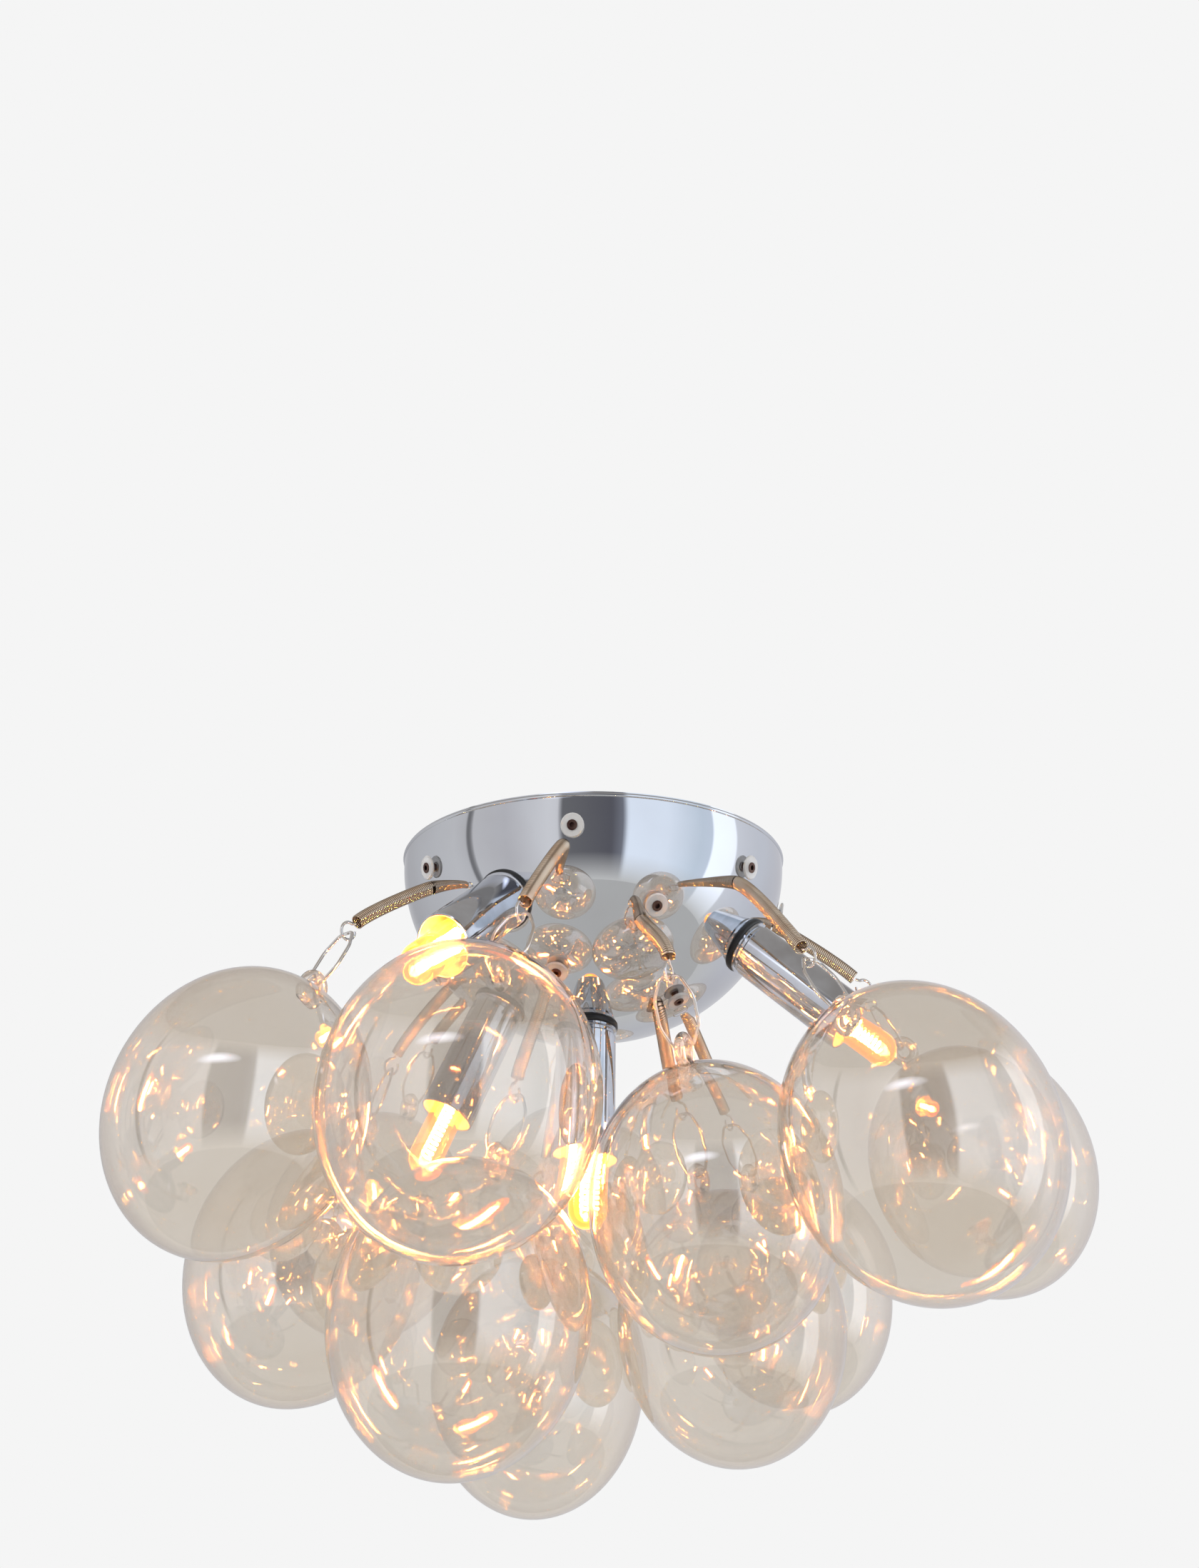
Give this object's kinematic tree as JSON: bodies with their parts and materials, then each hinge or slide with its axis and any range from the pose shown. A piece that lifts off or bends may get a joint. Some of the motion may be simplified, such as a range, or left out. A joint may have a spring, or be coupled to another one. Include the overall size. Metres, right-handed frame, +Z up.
{
  "type": "ceiling light",
  "caption": "Chromed bowl ceiling light with sprung arms that carry amber lustre glass globes on wire links, lit by capsule bulbs in chromed sleeves.",
  "frame": {"origin": "on the ceiling plane, at the middle of the canopy's mouth and of the strap's top face", "axes": "+Z up into the ceiling, +X to the right and +Y away from the viewer as the picture sees the light"},
  "size_m": [0.3991, 0.4188, 0.252],
  "materials": {
    "chrome": "polished",
    "sleeve_chrome": "polished",
    "zinced_steel": "zinc plated",
    "brass": "plain",
    "nylon": "matt",
    "wiring": "glass-fibre braid over silicone",
    "rubber": "satin",
    "ceramic": "unglazed ceramic",
    "bulb_glass": "clear, lit",
    "spring_wire": "copper washed",
    "link_wire": "bright",
    "globe_glass": "amber lustre"
  },
  "bodies": {
    "canopy_assembly": {"canopy": "chrome", "ceiling_strap": "zinced_steel", "side_screw_1": "zinced_steel", "side_screw_2": "zinced_steel", "earth_screw": "brass", "terminal_block": "nylon", "wiring_loom": "wiring", "lamp_gasket_1": "rubber", "lamp_sleeve_1": "sleeve_chrome", "lamp_socket_1": "ceramic", "lamp_gasket_2": "rubber", "lamp_sleeve_2": "sleeve_chrome", "lamp_socket_2": "ceramic", "lamp_gasket_3": "rubber", "lamp_sleeve_3": "sleeve_chrome", "lamp_socket_3": "ceramic", "lamp_gasket_4": "rubber", "lamp_sleeve_4": "sleeve_chrome", "lamp_socket_4": "ceramic", "spring_1": "spring_wire", "spring_2": "spring_wire", "spring_3": "spring_wire", "spring_4": "spring_wire", "spring_5": "spring_wire", "spring_6": "spring_wire", "spring_7": "spring_wire", "spring_8": "spring_wire", "spring_9": "spring_wire", "spring_10": "spring_wire", "spring_11": "spring_wire", "spring_12": "spring_wire"},
    "link_1": {"link_1": "link_wire"},
    "globe_1": {"globe_1": "globe_glass"},
    "link_2": {"link_2": "link_wire"},
    "globe_2": {"globe_2": "globe_glass"},
    "link_3": {"link_3": "link_wire"},
    "globe_3": {"globe_3": "globe_glass"},
    "link_4": {"link_4": "link_wire"},
    "globe_4": {"globe_4": "globe_glass"},
    "link_5": {"link_5": "link_wire"},
    "globe_5": {"globe_5": "globe_glass"},
    "link_6": {"link_6": "link_wire"},
    "globe_6": {"globe_6": "globe_glass"},
    "link_7": {"link_7": "link_wire"},
    "globe_7": {"globe_7": "globe_glass"},
    "link_8": {"link_8": "link_wire"},
    "globe_8": {"globe_8": "globe_glass"},
    "link_9": {"link_9": "link_wire"},
    "globe_9": {"globe_9": "globe_glass"},
    "link_10": {"link_10": "link_wire"},
    "globe_10": {"globe_10": "globe_glass"},
    "link_11": {"link_11": "link_wire"},
    "globe_11": {"globe_11": "globe_glass"},
    "link_12": {"link_12": "link_wire"},
    "globe_12": {"globe_12": "globe_glass"},
    "bulb_1": {"bulb_1": "bulb_glass"},
    "bulb_2": {"bulb_2": "bulb_glass"},
    "bulb_3": {"bulb_3": "bulb_glass"},
    "bulb_4": {"bulb_4": "bulb_glass"}
  },
  "joints": [
    {"name": "link_1_swing", "type": "hinge", "parent": "canopy_assembly", "child": "link_1", "pos_m": [-0.10543, -0.07079, -0.05419], "axis": [-0.7314, 0.682, 0], "range_deg": [0, 18]},
    {"name": "globe_1_swing", "type": "hinge", "parent": "link_1", "child": "globe_1", "pos_m": [-0.11419, -0.08019, -0.07737], "axis": [-0.7314, 0.682, 0], "range_deg": [0, 25]},
    {"name": "link_2_swing", "type": "hinge", "parent": "canopy_assembly", "child": "link_2", "pos_m": [-0.02818, -0.11901, -0.0609], "axis": [-0.9272, 0.3746, 0], "range_deg": [0, 12]},
    {"name": "globe_2_swing", "type": "hinge", "parent": "link_2", "child": "globe_2", "pos_m": [-0.03315, -0.1313, -0.08385], "axis": [-0.9272, 0.3746, 0], "range_deg": [0, 12]},
    {"name": "link_3_swing", "type": "hinge", "parent": "canopy_assembly", "child": "link_3", "pos_m": [0.0882, -0.10383, -0.07394], "axis": [-0.8192, -0.5736, 0], "range_deg": [0, 18]},
    {"name": "globe_3_swing", "type": "hinge", "parent": "link_3", "child": "globe_3", "pos_m": [0.0967, -0.11597, -0.09591], "axis": [-0.8192, -0.5736, 0], "range_deg": [0, 25]},
    {"name": "link_4_swing", "type": "hinge", "parent": "canopy_assembly", "child": "link_4", "pos_m": [0.12893, 0.00225, -0.0589], "axis": [0.0175, -0.9998, 0], "range_deg": [0, 20]},
    {"name": "globe_4_swing", "type": "hinge", "parent": "link_4", "child": "globe_4", "pos_m": [0.14218, 0.00248, -0.08185], "axis": [0.0175, -0.9998, 0], "range_deg": [0, 30]},
    {"name": "link_5_swing", "type": "hinge", "parent": "canopy_assembly", "child": "link_5", "pos_m": [0.06963, 0.08912, -0.09894], "axis": [0.788, -0.6157, 0], "range_deg": [0, 18]},
    {"name": "globe_5_swing", "type": "hinge", "parent": "link_5", "child": "globe_5", "pos_m": [0.07875, 0.10079, -0.12091], "axis": [0.788, -0.6157, 0], "range_deg": [0, 25]},
    {"name": "link_6_swing", "type": "hinge", "parent": "canopy_assembly", "child": "link_6", "pos_m": [-0.01086, 0.12455, -0.0569], "axis": [0.9998, 0.0175, 0], "range_deg": [0, 18]},
    {"name": "globe_6_swing", "type": "hinge", "parent": "link_6", "child": "globe_6", "pos_m": [-0.01109, 0.1378, -0.07985], "axis": [0.9998, 0.0175, 0], "range_deg": [0, 25]},
    {"name": "link_7_swing", "type": "hinge", "parent": "canopy_assembly", "child": "link_7", "pos_m": [-0.08869, 0.09272, -0.06559], "axis": [0.7071, 0.7071, 0], "range_deg": [0, 18]},
    {"name": "globe_7_swing", "type": "hinge", "parent": "link_7", "child": "globe_7", "pos_m": [-0.09661, 0.10064, -0.08961], "axis": [0.7071, 0.7071, 0], "range_deg": [0, 25]},
    {"name": "link_8_swing", "type": "hinge", "parent": "canopy_assembly", "child": "link_8", "pos_m": [-0.09661, 0.01826, -0.08885], "axis": [-0.5, 0.866, 0], "range_deg": [0, 13]},
    {"name": "globe_8_swing", "type": "hinge", "parent": "link_8", "child": "globe_8", "pos_m": [-0.10446, 0.01373, -0.11375], "axis": [-0.5, 0.866, 0], "range_deg": [0, 18]},
    {"name": "link_9_swing", "type": "hinge", "parent": "canopy_assembly", "child": "link_9", "pos_m": [0.03181, -0.09596, -0.07821], "axis": [0.891, -0.454, 0], "range_deg": [0, 3]},
    {"name": "globe_9_swing", "type": "hinge", "parent": "link_9", "child": "globe_9", "pos_m": [0.03708, -0.08561, -0.10203], "axis": [0.891, -0.454, 0], "range_deg": [0, 5]},
    {"name": "link_10_swing", "type": "hinge", "parent": "canopy_assembly", "child": "link_10", "pos_m": [0.04054, 0.01172, -0.10785], "axis": [0.7193, -0.6947, 0], "range_deg": [0, 2]},
    {"name": "globe_10_swing", "type": "hinge", "parent": "link_10", "child": "globe_10", "pos_m": [0.04683, 0.01825, -0.13275], "axis": [0.7193, -0.6947, 0], "range_deg": [0, 3.5]},
    {"name": "link_11_swing", "type": "hinge", "parent": "canopy_assembly", "child": "link_11", "pos_m": [-0.019, 0.06157, -0.12859], "axis": [0.9816, 0.1908, 0], "range_deg": [0, 3]},
    {"name": "globe_11_swing", "type": "hinge", "parent": "link_11", "child": "globe_11", "pos_m": [-0.02114, 0.07256, -0.15261], "axis": [0.9816, 0.1908, 0], "range_deg": [0, 5]},
    {"name": "link_12_swing", "type": "hinge", "parent": "canopy_assembly", "child": "link_12", "pos_m": [-0.03177, -0.03917, -0.11088], "axis": [-0.8572, 0.515, 0], "range_deg": [0, 4]},
    {"name": "globe_12_swing", "type": "hinge", "parent": "link_12", "child": "globe_12", "pos_m": [-0.03688, -0.04768, -0.13545], "axis": [-0.8572, 0.515, 0], "range_deg": [0, 7]},
    {"name": "bulb_1_pull", "type": "slide", "parent": "canopy_assembly", "child": "bulb_1", "axis": [-0.3892, -0.732, -0.5592], "range_m": [0, 0.008]},
    {"name": "bulb_2_pull", "type": "slide", "parent": "canopy_assembly", "child": "bulb_2", "axis": [0.7152, -0.2745, -0.6428], "range_m": [0, 0.008]},
    {"name": "bulb_3_pull", "type": "slide", "parent": "canopy_assembly", "child": "bulb_3", "axis": [-0.3871, -0.2058, -0.8988], "range_m": [0, 0.008]},
    {"name": "bulb_4_pull", "type": "slide", "parent": "canopy_assembly", "child": "bulb_4", "axis": [-0.0121, -0.1386, -0.9903], "range_m": [0, 0.008]}
  ]
}
